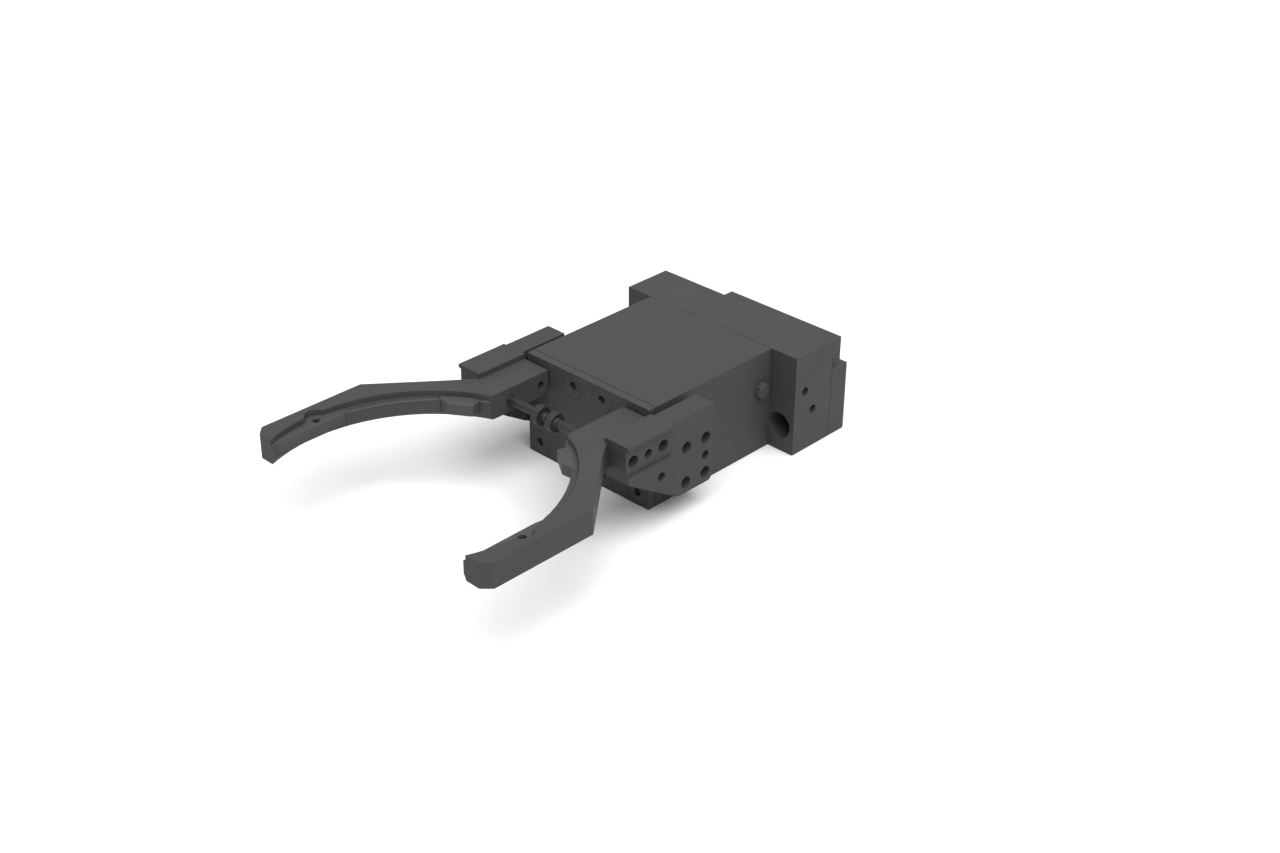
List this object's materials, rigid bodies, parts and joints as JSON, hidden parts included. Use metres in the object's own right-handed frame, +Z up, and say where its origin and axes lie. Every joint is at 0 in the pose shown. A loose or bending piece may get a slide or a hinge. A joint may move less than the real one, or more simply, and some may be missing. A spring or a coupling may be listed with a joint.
{
  "type": "pneumatic gripper",
  "caption": "Parallel pneumatic gripper: curved fingers with contact pads open sideways on plates driven by a piston and cam plate, with a rear mounting plate.",
  "frame": {"origin": "centre of the bounding box's bottom face, on the body's centre plane", "axes": "+Y from the fingers to the rear mounting plate, +X the right jaw's opening direction, +Z up"},
  "size_m": [0.192, 0.32, 0.0664],
  "materials": {
    "anodised": "matte dark grey anodised",
    "screws": "black oxide",
    "steel": "ground",
    "bronze": "turned bronze",
    "seal": "matte black",
    "pads": "matte dark grey polyurethane"
  },
  "bodies": {
    "base": {"housing": "anodised", "front_plate": "anodised", "front_screw_1": "anodised", "front_screw_2": "anodised", "front_screw_3": "anodised", "front_screw_4": "anodised", "front_screw_5": "anodised", "front_screw_6": "anodised", "front_screw_7": "anodised", "front_screw_8": "anodised", "rear_block": "anodised", "adapter_plate": "anodised", "mount_bolt_right": "screws", "mount_bolt_left": "screws", "side_plug_right": "anodised", "side_plug_left": "anodised", "rod_bush": "bronze", "rod_seal": "seal"},
    "actuator": {"piston": "anodised", "piston_ring": "seal", "piston_rod": "steel", "piston_nut": "steel", "cam_plate": "steel"},
    "jaw_right": {"slider_right": "steel", "drive_pin_right": "steel", "jaw_plate_right": "anodised", "plate_screw_1_right": "screws", "plate_screw_2_right": "screws", "plate_screw_3_right": "screws", "plate_screw_4_right": "screws", "plate_dowel_right": "steel", "finger_right": "anodised", "finger_screw_right": "screws", "finger_dowel_right": "steel", "stop_stud_right": "steel", "tip_pad_right": "pads", "root_pad_right": "pads", "tip_pad_screw_right": "screws", "root_pad_screw_right": "screws"},
    "jaw_left": {"slider_left": "steel", "drive_pin_left": "steel", "jaw_plate_left": "anodised", "plate_screw_1_left": "screws", "plate_screw_2_left": "screws", "plate_screw_3_left": "screws", "plate_screw_4_left": "screws", "plate_dowel_left": "steel", "finger_left": "anodised", "finger_screw_left": "screws", "finger_dowel_left": "steel", "stop_stud_left": "steel", "tip_pad_left": "pads", "root_pad_left": "pads", "tip_pad_screw_left": "screws", "root_pad_screw_left": "screws"}
  },
  "joints": [
    {"name": "jaw_right_slide", "type": "slide", "parent": "base", "child": "jaw_right", "axis": [1, 0, 0], "range_m": [0, 0.01]},
    {"name": "jaw_left_slide", "type": "slide", "parent": "base", "child": "jaw_left", "axis": [-1, 0, 0], "range_m": [0, 0.01]},
    {"name": "piston_stroke", "type": "slide", "parent": "base", "child": "actuator", "axis": [0, 1, 0], "range_m": [0, 0.01]}
  ],
  "couplings": [
    {"joint": "jaw_left_slide", "follows": "jaw_right_slide", "ratio": 1},
    {"joint": "piston_stroke", "follows": "jaw_right_slide", "ratio": 1}
  ]
}
